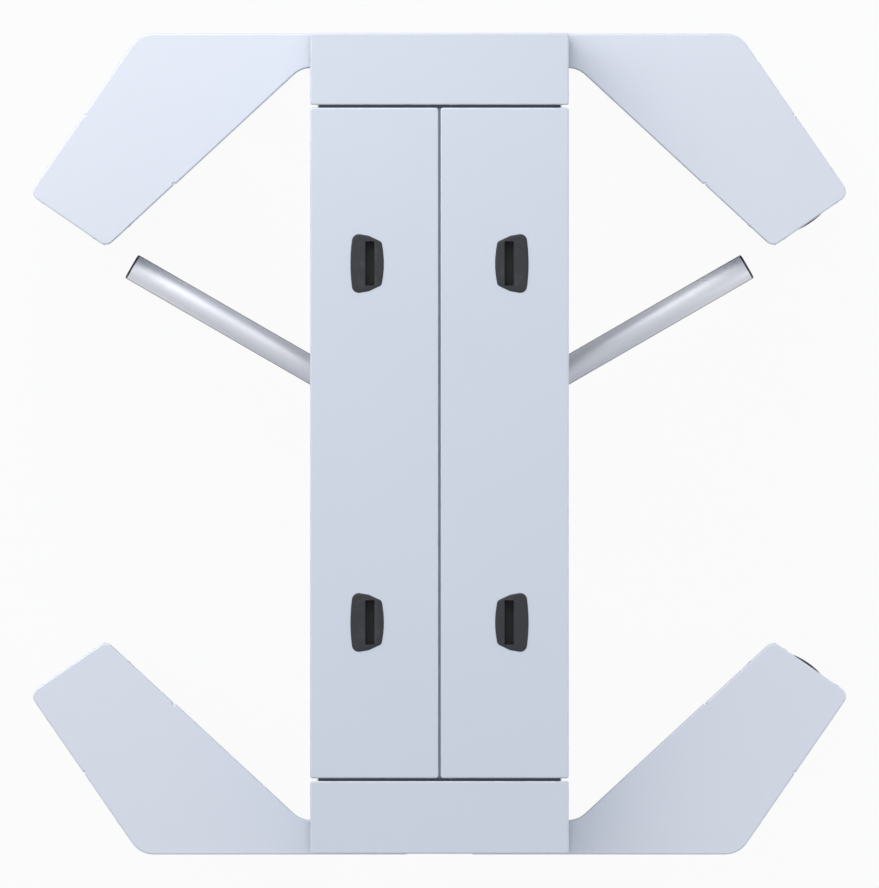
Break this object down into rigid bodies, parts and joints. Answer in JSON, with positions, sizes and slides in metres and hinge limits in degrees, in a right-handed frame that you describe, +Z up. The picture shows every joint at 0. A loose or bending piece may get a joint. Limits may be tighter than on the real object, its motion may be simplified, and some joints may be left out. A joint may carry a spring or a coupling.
{
  "type": "full height turnstile",
  "caption": "Full height turnstile with a three-wing tube rotor under a roof beam, slanted guide walls, a fixed comb and lift-off beam lids.",
  "frame": {"origin": "on the floor at the rotor's axis", "axes": "+X along the lane to the side with the reader and the indicator, +Y towards the side that the comb closes, +Z up"},
  "size_m": [1.545, 1.56, 2.322],
  "materials": {
    "painted_steel": "satin powder coat",
    "satin_steel": "satin ground tube",
    "zinc_sheet": "galvanised sheet",
    "zinc_fastener": "zinc plated",
    "cast_housing": "painted casting",
    "bright_steel": "turned and ground",
    "motor_enamel": "semi-gloss enamel",
    "pulley_aluminium": "turned",
    "belt_rubber": "matt",
    "solenoid_case": "moulded",
    "board_green": "solder resist",
    "terminal_grey": "moulded",
    "grip_plastic": "fine grained",
    "plug_plastic": "moulded",
    "lamp_lens": "smoked lens",
    "reader_plastic": "polished face",
    "lock_chrome": "plated"
  },
  "bodies": {
    "frame": {"centre_post_front": "painted_steel", "centre_post_back": "painted_steel", "corner_posts": "painted_steel", "wall_cover_front_left": "painted_steel", "wall_cover_front_right": "painted_steel", "wall_cover_back_left": "painted_steel", "wall_cover_back_right": "painted_steel", "end_pillar_front_left": "painted_steel", "end_pillar_front_right": "painted_steel", "end_pillar_back_left": "painted_steel", "end_pillar_back_right": "painted_steel", "guide_bars_front": "satin_steel", "guide_bars_back": "satin_steel", "floor_sills": "painted_steel", "comb_strip": "satin_steel", "comb_tubes": "satin_steel", "comb_plugs": "plug_plastic", "beam_tray": "zinc_sheet", "end_cap_front": "painted_steel", "end_cap_back": "painted_steel", "rain_gutter": "zinc_sheet", "floor_bearing_base": "cast_housing", "floor_bearing": "bright_steel", "top_bearing": "cast_housing", "drive_motor": "motor_enamel", "motor_bracket": "zinc_sheet", "drive_belt": "belt_rubber", "lock_brackets": "zinc_sheet", "lock_solenoids": "solenoid_case", "control_board": "board_green", "power_supply": "zinc_sheet", "terminal_row": "terminal_grey", "status_indicator": "lamp_lens", "card_reader": "reader_plastic", "beam_bolts": "zinc_fastener"},
    "rotor": {"rotor_column": "satin_steel", "wing_posts": "satin_steel", "bottom_hub": "satin_steel", "top_hub": "satin_steel", "rotor_arms_a": "satin_steel", "rotor_arms_b": "satin_steel", "rotor_arms_c": "satin_steel", "arm_plugs": "plug_plastic", "drive_shaft": "bright_steel", "driven_pulley": "pulley_aluminium", "locking_disc": "bright_steel", "hub_bolts": "zinc_fastener"},
    "motor_rotor": {"motor_pulley": "pulley_aluminium"},
    "pawl_left": {"lock_pawl_left": "bright_steel"},
    "pawl_right": {"lock_pawl_right": "bright_steel"},
    "solenoid_plunger_left": {"plunger_left": "bright_steel"},
    "solenoid_plunger_right": {"plunger_right": "bright_steel"},
    "left_lid": {"lid_left": "painted_steel", "grips_left": "grip_plastic"},
    "right_lid": {"lid_right": "painted_steel", "grips_right": "grip_plastic"},
    "left_lid_lock": {"lid_lock_left": "lock_chrome"},
    "right_lid_lock": {"lid_lock_right": "lock_chrome"}
  },
  "joints": [
    {"name": "rotor_spin", "type": "hinge", "parent": "frame", "child": "rotor", "pos_m": [0, 0, 1], "axis": [0, 0, 1], "continuous": true},
    {"name": "motor_spin", "type": "hinge", "parent": "frame", "child": "motor_rotor", "pos_m": [0, 0.3, 2.17], "axis": [0, 0, 1], "continuous": true},
    {"name": "pawl_left_swing", "type": "hinge", "parent": "frame", "child": "pawl_left", "pos_m": [-0.13, -0.085, 2.194], "axis": [0, 0, -1], "range_deg": [0, 9]},
    {"name": "pawl_right_swing", "type": "hinge", "parent": "frame", "child": "pawl_right", "pos_m": [0.13, -0.085, 2.194], "axis": [0, 0, 1], "range_deg": [0, 9]},
    {"name": "plunger_left_slide", "type": "slide", "parent": "frame", "child": "solenoid_plunger_left", "axis": [1, 0, 0], "range_m": [0, 0.0105]},
    {"name": "plunger_right_slide", "type": "slide", "parent": "frame", "child": "solenoid_plunger_right", "axis": [-1, 0, 0], "range_m": [0, 0.0105]},
    {"name": "lid_left_lift", "type": "slide", "parent": "frame", "child": "left_lid", "axis": [0, 0, 1], "range_m": [0, 0.26]},
    {"name": "lid_right_lift", "type": "slide", "parent": "frame", "child": "right_lid", "axis": [0, 0, 1], "range_m": [0, 0.26]},
    {"name": "lid_lock_left_turn", "type": "hinge", "parent": "left_lid", "child": "left_lid_lock", "pos_m": [-0.238, 0, 2.2], "axis": [1, 0, 0], "range_deg": [0, 90]},
    {"name": "lid_lock_right_turn", "type": "hinge", "parent": "right_lid", "child": "right_lid_lock", "pos_m": [0.238, 0, 2.2], "axis": [1, 0, 0], "range_deg": [0, 90]}
  ],
  "couplings": [
    {"joint": "motor_spin", "follows": "rotor_spin", "ratio": 2.5},
    {"joint": "plunger_left_slide", "follows": "pawl_left_swing", "m_per_rad": 0.0668},
    {"joint": "plunger_right_slide", "follows": "pawl_right_swing", "m_per_rad": 0.0668}
  ]
}
